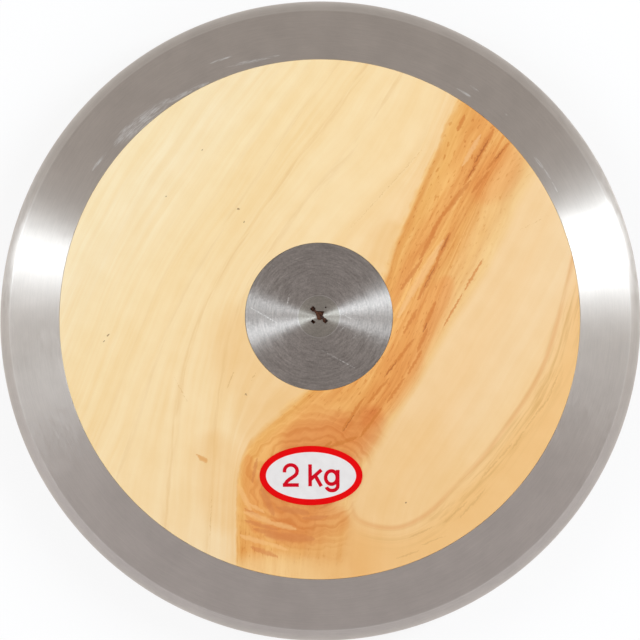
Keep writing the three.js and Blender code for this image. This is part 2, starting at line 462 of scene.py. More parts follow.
# Lines along the grain from the top of the board to its bottom, in millimetres from the axis: the growth
# lines of the pale wood, then the heartwood's left edge, its streaks and its right edge
GRAIN_LINES = (
    ((-12, 88), (-30, 64), (-43, 44), (-59, 19), (-68, -3), (-78, -27), (-84, -42)),
    ((-4, 87), (-21, 64), (-34, 44.5), (-51, 19), (-60.5, -3.5), (-68, -23), (-74, -38), (-79, -52)),
    ((8, 90), (-5, 73), (-22, 47), (-37, 24), (-50, 0), (-58, -22), (-68, -50), (-72, -64)),
    ((17, 88), (5, 70), (-9, 52), (-20, 35), (-31.5, 18), (-38.5, 5.5), (-46, -15), (-50.5, -46), (-53, -80)),
    ((30, 88), (17, 66), (4, 49), (-12, 30.5), (-24, 12), (-30, -4), (-34, -25), (-36, -48), (-38.5, -92)),
    ((44, 84), (35.5, 58), (24.5, 45.5), (9.5, 28.5), (-6, 8), (-17, -12), (-25.5, -28), (-31, -45),
     (-33, -96)),
    ((50, 82), (46.5, 74), (42.4, 65), (40, 57.5), (37, 51.5), (33.4, 43.5), (29.8, 34.5), (26, 25),
     (23.4, 14.5), (16, -3), (7, -15), (-4, -25.5), (-15.5, -35.5), (-23, -41.5), (-27, -49), (-28.5, -60.5),
     (-28.5, -96.5)),
    ((66, 77.5), (59.5, 65.5), (49, 46.5), (42.5, 36.5), (37.5, 27), (31, 16), (26, 5), (18, -9.5), (9, -21),
     (-0.5, -29.5), (-9, -36.5), (-15, -44), (-18, -53.5), (-19.5, -64), (-21, -77.5), (-22, -96.5)),
    ((70.5, 75), (61.5, 58.5), (54, 44.5), (49, 36), (45, 29), (40, 20.5), (36.5, 15), (31, 1.5), (24.5, -12),
     (19.5, -21.5), (12, -33.5), (4.5, -42), (-3, -48), (-8.5, -54.5), (-11.5, -65), (-13, -77.5),
     (-13.5, -96.5)),
    ((72, 69), (65, 59), (57, 45), (54.5, 38), (45, 17.5), (39, 0.5), (31.5, -18.5), (23.5, -30), (14.5, -41),
     (7.5, -49), (2, -57.5), (-2, -67), (-4.5, -79), (-5.5, -96.5)),
    ((86.5, 71), (71.5, 47.5), (62.5, 27), (52.5, 9.5), (45, -2.5), (36.5, -18), (30, -27.5), (23.5, -37),
     (17.5, -46), (13, -55.5), (10.5, -64), (9, -77.5), (8.5, -96.5)),
)
HEART_EDGE = 6  # which of them is the heartwood's left edge
HEART_SPAN = 5.0  # how many of them the heartwood's tones are spread over
BEND = (
    (11, -58.5), (10.5, -64), (12.5, -69), (20.5, -71.5), (28, -71.5), (35, -68), (40, -64), (45.5, -58),
    (55, -48.5), (61, -40.5), (67.5, -31.5), (72.5, -24), (77, -15), (80.5, -4), (83.5, 7.5), (86.5, 20),
    (89, 34))
KNOT = (-2.5, -54.7, 0)  # a small knot, which the label covers

# Marks as draw_marks takes them
DARK_STREAKS = (
    (56, 58, 16, 62, 2.6), (52, 50, 11, 58, 1.8), (61, 55.5, 13, 51, 1.8), (55, 46.5, 10, 52, 1.5),
    (46.5, 40.5, 17, 52, 2.4), (40, 31.5, 11, 60, 1.8), (36.8, 24.5, 12, 62, 1.9), (42.2, 24, 11, 64, 2.4),
    (37, 12.5, 16, 62, 2.2), (31.5, 14.5, 13, 55, 2), (48.4, 66.8, 6.5, 64, 1.9), (52.5, 14.5, 13, 60, 1.2),
    (45.5, 2.5, 14, 60, 1.1), (37.5, 0.5, 11, 66, 2.2), (31, -1.5, 10, 62, 1.6), (35, -8, 9, 66, 1.8),
    (27.5, -13.5, 16, 52, 1.4), (32.5, -15.5, 10, 58, 1.4), (20.2, -25, 12, 50, 1.4), (26, -25, 11, 54, 1.5),
    (8, -42.5, 11, 20, 2), (2.3, -43.8, 5, 37, 1.6), (11.5, -33, 14, 56, 1.5), (17.5, -36, 13, 53, 1.6))
STREAK_CORES = (
    (55.5, 57.2, 10, 60, 0.9), (52, 50, 6, 58, 0.7), (61.5, 56, 6, 51, 0.7), (42.8, 25.2, 7, 64, 0.9),
    (37.5, 13.5, 9, 62, 0.7), (36, -3.5, 4, 70, 0.8), (24.5, -17.5, 8, 50, 0.6), (10, -36, 7, 56, 0.6))
PALE_STREAKS = ((35.2, 14.5, 28, 59, 3.4), (30, 5.5, 14, 60, 2.2), (52, 57.5, 13, 60, 2.2))
FAINT_STREAKS = (
    (-30.1, -21.5, 6.4, 66, 0.6), (-22.2, -20.3, 4, 60, 0.5), (-47, -24.7, 10, 118, 0.3),
    (24.5, 45.5, 46, 48.6, 0.3), (73.2, 32.6, 13, 29, 0.3), (-37, -67.4, 15.4, 87, 0.4),
    (79.7, -23.3, 9, 68, 0.6), (75.8, -30.3, 9, 50, 0.7), (71.7, -35.6, 7, 54, 0.6),
    (67.8, -41.4, 8.5, 58, 0.7), (54.3, -60.9, 8, 51, 0.9), (50.3, -65.2, 7.5, 50, 0.8),
    (38.5, -75.8, 9.3, 20, 0.7), (58, -51.5, 9, 48, 0.9), (62.5, -46.5, 10, 50, 0.8),
    (46, -66.5, 12, 42, 0.9), (34.5, -73, 10, 25, 0.8), (30, -80.5, 9, 18, 0.8))
PORES = (
    (-40, 57.6, 0.7, 50, 0.5), (-52.4, 41.5, 0.6, 50, 0.6), (-27.6, 36.7, 0.8, 0, 0.8),
    (-25.5, 32.6, 0.7, 50, 0.5), (-24.8, -26.4, 0.9, 120, 0.7), (-72.1, -5.8, 0.9, 60, 0.8),
    (-73.5, -7.9, 1.2, 60, 0.5), (29.5, -62.8, 0.8, 0, 0.7))
AMBER_FLECKS = ((-39.7, -48, 3.6, -35, 2.2), (-41, -46.8, 2, -20, 0.8))
PALE_RIPPLES = (
    (-20.3, -68.1, 12, 158, 2.6), (-12.6, -70.7, 10, 165, 2.2), (-22.1, -75.6, 11, 163, 2.2),
    (-15, -77.6, 9.5, 163, 1.8), (-25.6, -61.1, 10, 118, 2.6), (-21.5, -64.6, 7, 150, 1.6))
DARK_RIPPLES = (
    (-19.8, -70.6, 12, 163, 2), (-16.7, -73.2, 12, 166, 2.4), (-10, -74.7, 17, 176, 4),
    (-18.9, -79.7, 10, 160, 2.2), (-9, -65.6, 11.5, 170, 3), (-17.6, -62.6, 10, 115, 3),
    (-22.5, -66.6, 7, 150, 1.5), (-1.5, -68, 9, 5, 2), (3, -63.5, 7, 30, 1.6), (-22, -52, 9, 78, 1.6))
DARK_WOOD = ((1, -41, 24, 16, 22), (14, -40, 18, 58, 18), (-15, -61, 16, 112, 13), (-4, -70, 26, 5, 20))
AMBER_WOOD = ((33, -6, 44, 60, 18), (25, -24, 30, 52, 16), (-23, -60, 26, 95, 9), (60, 49, 18, 55, 20))
LIGHT_WOOD = ((-13, -88, 46, 0, 22),)
CORNER_WOOD = ((8, -81, 18, 100, 34),)
STAINS = (
    (-24, -13, 22, 105, 38), (-14, -33, 22, 150, 34), (31, -56, 26, 48, 56), (22, 24, 16, 65, 14),
    (-34, -56, 30, 100, 26))

# Tones of the pale wood from upper left to lower right, and of the heartwood from edge to edge
PALE_TONES = (
    (0.0, "#fdedc9"), (0.07, "#fcebc8"), (0.15, "#fce8c0"), (0.22, "#fbe4b8"), (0.45, "#fae1b6"),
    (0.62, "#f8dfb7"), (0.74, "#f3dcb7"), (0.85, "#f3d4a8"), (0.95, "#f2ce98"))
HEART_TONES = (
    (0.0, "#f8d08e"), (0.06, "#f8cd86"), (0.14, "#f6c37d"), (0.2, "#f4be78"), (0.28, "#f8c984"),
    (0.36, "#f6c47e"), (0.44, "#f3c27c"), (0.56, "#f3c37e"), (0.62, "#f5ca8a"), (0.7, "#f6d298"),
    (0.78, "#f6d7a1"), (0.9, "#f6daac"))

# How fine each pattern of the grain is across one streak and along each millimetre, and its detail
GRAIN = (
    (2.4, 0.012, 2),  # bands
    (9, 0.05, 3),  # fibres
    (1.6, 0.018, 3),  # broad streaks
    (6, 0.045, 3),  # streaks
    (14, 0.4, 1),  # dashes
    (2, 0.15, 2),  # notches
)
BEND_GRAIN = (0.8, 0.05, 3)


def smooth_line(points, rounds=3):
    """Cuts the corners of a drawn line, and keeps its ends."""
    line = np.array(points, float)
    for _ in range(rounds):
        near, far = line[:-1], line[1:]
        cut = np.stack((0.75 * near + 0.25 * far, 0.25 * near + 0.75 * far), axis=1).reshape(-1, 2)
        line = np.vstack((line[:1], cut, line[-1:]))
    return line


def beside(points, drawn):
    """How far each point lies to the right of a line drawn downwards, and how far down that line it is."""
    line = smooth_line(drawn)
    nearest = np.full(len(points), np.inf)
    right = np.ones(len(points))
    down = np.zeros(len(points))
    travelled = 0.0
    for start, end in zip(line, line[1:]):
        run = end - start
        length = math.hypot(*run)
        part = np.clip((points - start) @ run / length**2, 0, 1)
        gap = points - start - part[:, None] * run
        distance = np.hypot(gap[:, 0], gap[:, 1])
        closer = distance < nearest
        nearest = np.where(closer, distance, nearest)
        right = np.where(closer, np.sign(run[0] * gap[:, 1] - run[1] * gap[:, 0]), right)
        down = np.where(closer, travelled + part * length, down)
        travelled += length
    return nearest * right, down


def lay_grain(piece, turn_by, shift):
    """Gives a board its grain: where each point lies on the board, how many lines it is past the
    heartwood's left edge, how far along them, and how far it is beyond the bend of the last one."""
    places = np.empty(len(piece.data.vertices) * 3)
    piece.data.vertices.foreach_get("co", places)
    places = places.reshape(-1, 3) / MM
    cosine, sine = math.cos(turn_by), math.sin(turn_by)
    x = places[:, 0] * cosine - places[:, 1] * sine + shift[0]
    y = places[:, 0] * sine + places[:, 1] * cosine + shift[1]
    points = np.column_stack((x, y))
    lines = [beside(points, line) for line in GRAIN_LINES]
    across = lines[0][0] / PALE_STEP
    along = lines[0][1]
    for number, (left, right) in enumerate(zip(lines, lines[1:])):
        between = (left[0] > 0) & (right[0] <= 0)
        part = left[0] / np.maximum(left[0] - right[0], TINY)
        across = np.where(between, number + part, across)
        along = np.where(between, left[1] * (1 - part) + right[1] * part, along)
    past = lines[-1][0] > 0
    across = np.where(past, len(lines) - 1 + lines[-1][0] / PALE_STEP, across)
    along = np.where(past, lines[-1][1], along)
    beyond = -beside(points, BEND)[0]
    for name, columns in (("board", (x, y, 0 * x)), ("figure", (across - HEART_EDGE, along, beyond))):
        layer = piece.data.attributes.new(name, "FLOAT_VECTOR", "POINT")
        layer.data.foreach_set("vector", np.column_stack(columns).ravel())


def drawn_out(tree, across, along, scales):
    """Noise drawn out along the grain."""
    fine, coarse, detail = scales
    run = add(tree, "CombineXYZ", [across, along])
    run = add(tree, "Mapping", {"Vector": run, "Scale": (fine, coarse, 1)})
    return add(tree, "TexNoise", [run, 1, detail, 0.6], noise_dimensions="2D")


def growth_lines(tree, line, fibres):
    """Faint lines in the pale wood, broken here and there, that die away far out and near the heartwood."""
    nearest = add(tree, "Math", [line, 0.5], operation="PINGPONG")
    growth = add(tree, "MapRange", [nearest, 0.0, 0.17, 0.42, 0.0], **SMOOTH)
    for limits in ([fibres, 0.4, 0.6], [line, -2.4, -0.4, 1.0, 0.15], [line, -5.5, -2.5, 0.2, 1.0]):
        growth = add(tree, "Math", [growth, add(tree, "MapRange", limits)], operation="MULTIPLY")
    return growth


def heartwood(tree, across, inside):
    """Where the heartwood lies, with a frayed left edge, and the warmer halo on both sides of it."""
    left_edge = add(tree, "MapRange", [across, -0.12, 0.12], **SMOOTH)
    left_halo = add(tree, "MapRange", [across, -1.2, 0.0, 0.0, 0.5])
    right_halo = add(tree, "MapRange", [inside, 4.2, 7.4, 0.9, 0.0])
    halo = add(tree, "Math", [left_halo, right_halo], operation="MINIMUM")
    right_edge = add(tree, "MapRange", [inside, 3.7, 4.4, 1.0, 0.0], **SMOOTH)
    return add(tree, "Math", [left_edge, right_edge], operation="MULTIPLY"), halo


def bent_wood(tree, beyond, inside, waver):
    """The wood right of the heartwood, its darker part beyond the bend, and the fading line of the bend."""
    past_bend = add(tree, "MapRange", [beyond, -2.0, 7.0, 0.0, 0.5], **SMOOTH)
    right_wood = add(tree, "MapRange", [inside, 3.6, 4.8], **SMOOTH)
    past_bend = add(tree, "Math", [past_bend, right_wood], operation="MULTIPLY")
    bend_line = add(tree, "Math", [beyond], operation="ABSOLUTE")
    bend_line = add(tree, "MapRange", [bend_line, 0.0, 1.4, 0.5, 0.0], **SMOOTH)
    fade = add(tree, "MapRange", [waver, 0.3, 0.6], **SMOOTH)
    return right_wood, past_bend, add(tree, "Math", [bend_line, fade], operation="MULTIPLY")


def knot_wood(tree, place, in_heart):
    """The crumpled rings round the knot, and how far out they show."""
    oval = add(tree, "VectorMath", [place, KNOT], operation="SUBTRACT")
    oval = add(tree, "VectorMath", [oval, (0.8, 1, 0)], operation="MULTIPLY")
    radius = add(tree, "VectorMath", [oval], operation="LENGTH")
    crumple = add(tree, "TexNoise", [place, 0.13, 2.0])
    radius = add(tree, "Math", [crumple, 8.0, radius], operation="MULTIPLY_ADD")
    rings = add(tree, "TexNoise", [radius, 0.4, 2.0], noise_dimensions="1D")
    near_knot = add(tree, "MapRange", [radius, 22.0, 36.0, 1.0, 0.0], **SMOOTH)
    return rings, add(tree, "Math", [near_knot, in_heart], operation="MULTIPLY")


def bend_streaks(tree, place, beyond, along, right_wood):
    """Streaks of their own in a band beyond the bend, fainter towards the bottom of the board."""
    streaks = add(tree, "MapRange", [drawn_out(tree, beyond, along, BEND_GRAIN), 0.45, 0.7, 0.0, 0.6])
    band = add(tree, "Math", [beyond, 4.0], operation="SUBTRACT")
    band = add(tree, "Math", [band], operation="ABSOLUTE")
    band = add(tree, "MapRange", [band, 1.0, 7.0, 1.0, 0.0], **SMOOTH)
    band = add(tree, "Math", [band, right_wood], operation="MULTIPLY")
    streaks = add(tree, "Math", [streaks, band], operation="MULTIPLY")
    level = add(tree, "SeparateXYZ", [place]).outputs["Y"]
    upward = add(tree, "MapRange", [level, -78.0, -48.0, 0.4, 1.0])
    return add(tree, "Math", [streaks, upward], operation="MULTIPLY")


def lacquered_board(name):
    """Pale hardwood under a satin lacquer. Growth rings cross it as faint lines, the heartwood keeps to its
    streaks, and the open pores show as short dark dashes along the grain."""
    material, tree, shader = new_material(name)
    place = add(tree, "Attribute", attribute_name="board").outputs["Vector"]
    figure = add(tree, "Attribute", attribute_name="figure").outputs["Vector"]
    line, along, beyond = add(tree, "SeparateXYZ", [figure]).outputs
    # Patterns about 30, 1 and 8 mm wide, and those of the grain
    waver = add(tree, "TexNoise", [place, 0.035, 1.5])
    fine_waver = add(tree, "TexNoise", [place, 0.9, 2])
    mottle = add(tree, "TexNoise", [place, 0.12, 3])
    swerve = add(tree, "MapRange", [waver, *NOISE, -0.07, 0.07])
    inside = add(tree, "Math", [line, swerve], operation="ADD")
    patterns = [drawn_out(tree, inside, along, scales) for scales in GRAIN]
    bands, fibres, broad_streaks, streaks, dashes, notches = patterns
    frayed = add(tree, "MapRange", [notches, *NOISE, -0.05, 0.05])
    across = add(tree, "Math", [line, frayed], operation="ADD")
    growth = growth_lines(tree, line, fibres)

    lean = add(tree, "VectorMath", [place, (0.8, -0.6, 0)], operation="DOT_PRODUCT")
    pale = add(tree, "ValToRGB", [add(tree, "MapRange", [lean, -85.0, 85.0])], stops=PALE_TONES)
    depth = add(tree, "Math", [inside, HEART_SPAN], operation="DIVIDE")
    heart = add(tree, "ValToRGB", [depth], stops=HEART_TONES)
    in_heart, halo = heartwood(tree, across, inside)
    right_wood, past_bend, bend_line = bent_wood(tree, beyond, inside, waver)
    knot_rings, near_knot = knot_wood(tree, place, in_heart)
    dark_wood, amber_wood = [
        add(tree, "Math", [draw_marks(tree, place, marks), in_heart], operation="MULTIPLY")
        for marks in (DARK_WOOD, AMBER_WOOD)]
    light_wood = draw_marks(tree, place, LIGHT_WOOD)

    # The streaks fade to the right and where the knot's rings and the light wood at the bottom take over.
    calm = add(tree, "Math", [near_knot, light_wood], operation="MAXIMUM")
    calm = add(tree, "Math", [calm, -0.75, 1.0], operation="MULTIPLY_ADD")
    streaked = add(tree, "Math", [in_heart, calm], operation="MULTIPLY")
    fading = add(tree, "MapRange", [inside, 2.6, 4.0, 1.0, 0.35])
    streaked = add(tree, "Math", [streaked, fading], operation="MULTIPLY")
    # The bands and fibres are fainter in the light wood, right of the heartwood and beyond the bend.
    plain = add(tree, "Math", [past_bend, 1.6, light_wood], operation="MULTIPLY_ADD")
    plain = add(tree, "Math", [plain, 1.0], operation="MINIMUM")
    grained = add(tree, "Math", [plain, -0.8, 1.0], operation="MULTIPLY_ADD")
    evener = add(tree, "Math", [right_wood, -0.5, 1.0], operation="MULTIPLY_ADD")
    grained = add(tree, "Math", [grained, evener], operation="MULTIPLY")

    # Broad colour
    colour = tinted(tree, pale, (
        (growth, 1, "#e6bd80"), (halo, 1, "#f2c588"), (draw_marks(tree, place, STAINS), 0.42, "#efc485"),
        (past_bend, 1, "#ecb66e"), (bend_streaks(tree, place, beyond, along, right_wood), 1, "#d2a25c"),
        (bend_line, 1, "#e0a061"), (in_heart, 1, heart), (amber_wood, 0.45, "#ea9c50"),
        (dark_wood, 0.65, "#de8740"), (light_wood, 0.7, "#f6d29a"),
        (draw_marks(tree, place, CORNER_WOOD), 0.7, "#ebb46e")))
    # Grain, as shades of the wood's own colour
    for share, pattern, low, high, dark, light in (
            (grained, bands, 0.3, 0.7, "#fcf6eb", "#ffffff"),
            (grained, fibres, 0.3, 0.7, "#fefcf8", "#ffffff"),
            (1.0, mottle, 0.35, 0.65, "#fdf8ec", "#fffcf4"),
            (streaked, broad_streaks, 0.32, 0.66, "#f3dec4", "#fffdf8"),
            (streaked, streaks, 0.32, 0.66, "#f3e0c8", "#fffdf8"),
            (streaked, dashes, 0.22, 0.36, "#edd8bb", "#ffffff"),
            (near_knot, knot_rings, 0.36, 0.62, "#f4dfc5", "#fffbf4")):
        shade = add(tree, "ValToRGB", [pattern], stops=((low, dark), (high, light)))
        colour = add(tree, "Mix", [share, colour, shade], **SHADE)
    # Streaks, pores and ripples at their own places, with ragged outlines
    ragged = add(tree, "VectorMath", [fine_waver.outputs["Color"], (0.5, 0.5, 0.5)], operation="SUBTRACT")
    ragged = add(tree, "VectorMath", [ragged, 1.2], operation="SCALE")
    ragged = add(tree, "VectorMath", [place, ragged], operation="ADD")
    for marks, strength, tone in (
            (DARK_RIPPLES, 0.55, "#cf7a3e"), (PALE_RIPPLES, 0.6, "#f5bd78"), (AMBER_FLECKS, 0.8, "#e0a055"),
            (FAINT_STREAKS, 0.45, "#cf9c58"), (PALE_STREAKS, 0.5, "#f6c588"), (DARK_STREAKS, 0.7, "#cd7628"),
            (STREAK_CORES, 0.7, "#a85818"), (PORES, 0.8, "#7a4a24")):
        colour = tinted(tree, colour, [(draw_marks(tree, ragged, marks), strength, tone)])

    connect(tree, shader, {
        "Base Color": colour,
        "Roughness": add(tree, "MapRange", [fibres, *NOISE, 0.5, 0.6]),
        "Normal": add(tree, "Bump", {"Height": dashes, "Strength": 0.25, "Distance": PORE_DEPTH}),
        "IOR": 1.5,
        "Specular IOR Level": 0.35})
    return material


# The half's pockets, from the CAD frame
plate_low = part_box("front_plate")[0][2]
plate_seat = plate_low - GLUE_LINE
trim_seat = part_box("front_trim_washer")[0][2] - GLUE_LINE
board_seat = GLUE_LINE / 2
sleeve_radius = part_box("centre_sleeve")[1][0]
wood_outside = wood_radius - RIM_JOINT
plate_pocket = flat_radius + POCKET_EDGE
trim_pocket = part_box("front_trim_washer")[1][0] + SLIP_FIT
bore_radius = sleeve_radius + SLIP_FIT
rebate_radius = web_radius - GLUE_LINE
rebate_floor = web_face + GLUE_LINE
taper_low, taper_high = taper_height(wood_outside), taper_height(plate_pocket)


def push_faces(rise):
    """Extrudes the picked faces up or down."""
    bpy.ops.mesh.extrude_region_move(TRANSFORM_OT_translate={"value": (0, 0, rise)})


front_half = start_piece(
    "front_wooden_half", bpy.ops.mesh.primitive_cone_add, vertices=WOOD_STEPS, radius1=wood_outside,
    radius2=plate_pocket, depth=taper_high - taper_low, location=(0, 0, (taper_high + taper_low) / 2))
pick(front_half, "FACE", lambda place, normal: normal.z > FACING)
push_faces(plate_seat - taper_high)
bpy.ops.mesh.inset(thickness=plate_pocket - trim_pocket)
push_faces(trim_seat - plate_seat)
bpy.ops.mesh.inset(thickness=trim_pocket - bore_radius)
push_faces(board_seat - trim_seat)
bpy.ops.mesh.delete(type="FACE")
pick(front_half, "FACE", lambda place, normal: normal.z < -FACING)
push_faces(rebate_floor - taper_low)
bpy.ops.mesh.inset(thickness=wood_outside - rebate_radius)
push_faces(board_seat - rebate_floor)
bpy.ops.mesh.inset(thickness=rebate_radius - bore_radius)
bpy.ops.mesh.delete(type="FACE")
close_up()
pick(front_half, "EDGE", lambda place, run: (
    abs(run.z) > NEAR and place.z > taper_low and plate_pocket < place.xy.length < wood_outside))
bpy.ops.mesh.subdivide_edgering(number_cuts=TAPER_CUTS, interpolation="LINEAR", smoothness=0)
settle()
drill_for_dowels(front_half)

board = lacquered_board("lacquered_pale_hardwood")
finish(front_half, board, "lacquered_wood", "front_wood_half")
back_half = turned_over(front_half, "back_wooden_half", "back_wood_half")
lay_grain(front_half, 0.0, (0, 0))
lay_grain(back_half, BACK_TURN, BACK_SHIFT)


# Sleeve and trim washers. A threaded steel sleeve through the core takes both screws, and a ballast
# washer round it under each plate brings the disc to its weight. Both are zinc plated, dull and bluish.
SPANGLE_FINENESS = 0.6 / MM

zinc, tree, shader = new_material("zinc_plated_steel")
spangle = add(tree, "TexVoronoi", [add(tree, "TexCoord").outputs["Object"], SPANGLE_FINENESS])
connect(tree, shader, {
    "Base Color": add(tree, "ValToRGB", [spangle], stops=((0.0, "#b9bcbd"), (0.8, "#9ea1a2"))),
    "Metallic": 1.0,
    "Roughness": 0.48})
for node in ("centre_sleeve", "front_trim_washer", "back_trim_washer"):
    give_material(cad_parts[node], zinc)


# Centre plates. Mild steel discs, countersunk for the screw, let into the wood and then faced with
# it in the lathe, which leaves the same grooves round the axis as on the rim.
PLATE_STEPS = 256
HEAD_GAP = 0.04 * MM
PLATE_EDGE = 0.08 * MM
SCREW_HOLE = 8.4 * MM
PLATE_SCRATCHES = (
    (-18.8, 0.5, 11, -30, 0.7), (-10.5, 5.5, 2.5, 80, 0.4), (7.8, -4.2, 3, 40, 0.4), (10, -0.3, 5, -28, 0.6),
    (6.2, -14.3, 14, -28, 0.45), (12, -7, 2, 50, 0.4), (-15.5, 17.2, 0.5, 0, 0.5), (9.3, 20.6, 0.5, 0, 0.5),
    (-10.1, 7.6, 0.4, 0, 0.7), (8.5, 12.5, 0.4, 0, 0.4))

head_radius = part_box("front_screw")[1][0]
hole_radius = SCREW_HOLE / 2
plate_thickness = half_thickness - plate_low
mouth = head_radius + HEAD_GAP
sink = mouth - hole_radius


def stretch(by_x, by_y):
    """Makes what is picked wider or narrower, measured from the axis."""
    bpy.ops.transform.resize(value=(by_x, by_y, 1), center_override=(0, 0, 0))


front_plate = start_piece(
    "front_faced_plate", bpy.ops.mesh.primitive_cylinder_add, vertices=PLATE_STEPS, radius=flat_radius,
    depth=plate_thickness, location=(0, 0, plate_low + plate_thickness / 2))
pick(front_plate, "EDGE", lambda place, run: place.z > half_thickness - NEAR)
bpy.ops.mesh.bevel(offset=PLATE_EDGE, segments=2, affect="EDGES")
pick(front_plate, "FACE", lambda place, normal: normal.z > FACING)
bpy.ops.mesh.inset(thickness=flat_radius - PLATE_EDGE - mouth)
push_faces(-sink)
stretch(hole_radius / mouth, hole_radius / mouth)
push_faces(sink - plate_thickness)
bpy.ops.mesh.delete(type="FACE")
pick(front_plate, "FACE", lambda place, normal: normal.z < -FACING)
bpy.ops.mesh.inset(thickness=flat_radius - hole_radius)
bpy.ops.mesh.delete(type="FACE")
# The plate's steel gets a painted highlight: a lighter ring at the mouth of the countersink.
plate_steel = turned_steel(
    "faced_mild_steel", colour="#b5ada7", groove=0.55, depth=0.14, roughness=0.34, marks=PLATE_SCRATCHES,
    highlight_ring=mouth / MM, ring_highlight=0.3)
finish(front_plate, plate_steel, "plate_steel", "front_plate")
turned_over(front_plate, "back_faced_plate", "back_plate")


# Screws. Countersunk machine screws with a cross recess, driven home and then faced off with the
# plate, which smeared steel over the arms of the recess. Dirt and rust have settled in it.
SCREW_STEPS = 96
SLEEVE_WALL = 2 * MM  # with the running gap round the shank
TIP_CHAMFER = 1 * MM
RECESS_DEPTH = 1.6 * MM
RECESS_FLOOR = 0.85  # how much of a part's width and height is left at its floor
RECESS_CORNER = 0.1  # rounding of its corners, as a share of its height
OVERCUT = 0.4 * MM  # how far the cutters stand above the head
DIRT_START = 0.01 * MM  # depths below the face at which the dirt starts and is complete
DIRT_FULL = 0.12 * MM
CRUMB_FINENESS = 1.5 / MM
# What the smearing left open, in millimetres: the middle of each part, its width and height, the angle
# in degrees that it is turned by, and how much of its width is left at its lower end
RECESS_PARTS = (
    (0.2, 0.35, 3.3, 3.1, 0, 0.45),
    (-2.05, 2.6, 1.7, 1.5, 45, 0.85),
    (-1.3, 1.8, 0.8, 1.6, 45, 1.0),
    (1.5, -0.7, 1.1, 1.9, 42, 0.9),
    (2.15, -1.45, 1.6, 1.5, 45, 0.9),
    (-2.0, -1.75, 1.6, 1.0, -38, 0.85),
    (2.3, 3.1, 0.6, 0.5, 45, 0.8),
)

tip_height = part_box("front_screw")[0].z
shank_radius = sleeve_radius - SLEEVE_WALL
head_depth = head_radius - shank_radius
head_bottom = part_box("front_screw")[1].z - head_depth
front_screw = start_piece(
    "front_cross_recess_screw", bpy.ops.mesh.primitive_cylinder_add, vertices=SCREW_STEPS,
    radius=shank_radius, depth=head_bottom - tip_height, location=(0, 0, (head_bottom + tip_height) / 2))
pick(front_screw, "FACE", lambda place, normal: normal.z > FACING)
push_faces(head_depth)
stretch(head_radius / shank_radius, head_radius / shank_radius)
pick(front_screw, "EDGE", lambda place, run: place.z < tip_height + NEAR)
bpy.ops.mesh.bevel(offset=TIP_CHAMFER, segments=1, affect="EDGES")
bpy.ops.object.mode_set(mode="OBJECT")

cutters = []
for x, y, width, height, angle, lower_end in RECESS_PARTS:
    bpy.ops.object.select_all(action="DESELECT")
    bpy.ops.mesh.primitive_cube_add(
        size=1, location=(0, 0, half_thickness + (OVERCUT - RECESS_DEPTH) / 2),
        scale=(width * MM, height * MM, RECESS_DEPTH + OVERCUT))
    cutter = bpy.context.object
    bpy.ops.object.transform_apply(location=True, rotation=False, scale=True)
    bpy.ops.object.mode_set(mode="EDIT")
    pick(cutter, "FACE", lambda place, normal: normal.y < -FACING)
    stretch(lower_end, 1)
    pick(cutter, "FACE", lambda place, normal: normal.z < -FACING)
    stretch(RECESS_FLOOR, RECESS_FLOOR)
    pick(cutter, "EDGE", lambda place, run: abs(run.z) > RECESS_DEPTH / 2)
    bpy.ops.mesh.bevel(offset=RECESS_CORNER * height * MM, segments=3, affect="EDGES")
    bpy.ops.object.mode_set(mode="OBJECT")
    cutter.rotation_euler.z = math.radians(angle)
    cutter.location = (x * MM, y * MM, 0)
    bpy.ops.object.transform_apply(location=True, rotation=True, scale=False)
    cutters.append(cutter)
combine(front_screw, cutters, "DIFFERENCE")

screw_steel = turned_steel(
    "faced_screw_steel", colour="#b1aaa0", groove=0.55, depth=0.12, roughness=0.4,
    marks=PLATE_SCRATCHES[2:4], highlight_ring=head_radius / MM, ring_highlight=0.0)
tree = screw_steel.node_tree
shader = tree.nodes["Principled BSDF"]
metres = add(tree, "TexCoord").outputs["Object"]
height = add(tree, "Math", [add(tree, "SeparateXYZ", [metres]).outputs["Z"]], operation="ABSOLUTE")
dirt_levels = [half_thickness - DIRT_FULL, half_thickness - DIRT_START]
dirt = add(tree, "MapRange", [height, *dirt_levels, 1.0, 0.0], **SMOOTH)
crumbs = add(tree, "TexNoise", [metres, CRUMB_FINENESS, 3.0])
rust = add(tree, "ValToRGB", [crumbs], stops=((0.35, "#2c1a12"), (0.6, "#7a4a30")))
bare = shader.inputs["Base Color"].links[0].from_socket
connect(tree, shader, {
    "Base Color": tinted(tree, bare, [(dirt, 1.0, rust)]),
    "Metallic": add(tree, "Math", [1.0, dirt], operation="SUBTRACT")})
finish(front_screw, screw_steel, "screw_steel", "front_screw")
turned_over(front_screw, "back_cross_recess_screw", "back_screw")


# Weight label. An oval of white satin vinyl with a printed red border, stuck on the lacquer, and its
# class weight in plain red characters.
LABEL_STEPS = 96
LABEL_FILM = 0.05 * MM
LABEL_THICKNESS = 0.15 * MM
START_HEIGHT = 30 * MM  # where the flat label and characters start, above the disc
INK = 0.04 * MM
FIELD_HALF_WIDTH = 15.3 * MM
FIELD_HALF_HEIGHT = 7.95 * MM
STROKE = 1.22 * MM
STROKE_HEIGHT = 1 * MM
VINYL_FINENESS = 0.35 / MM
INK_FINENESS = 1 / MM


def straight(start, end, steps=6):
    return [(start[0] + (end[0] - start[0]) * i / steps, start[1] + (end[1] - start[1]) * i / steps)
            for i in range(steps + 1)]


def arc(middle, half_width, half_height, first, last, steps=24):
    """Points round an oval, from one angle in degrees to another."""
    angles = [math.radians(first + (last - first) * i / steps) for i in range(steps + 1)]
    return [(middle[0] + half_width * math.cos(a), middle[1] + half_height * math.sin(a)) for a in angles]


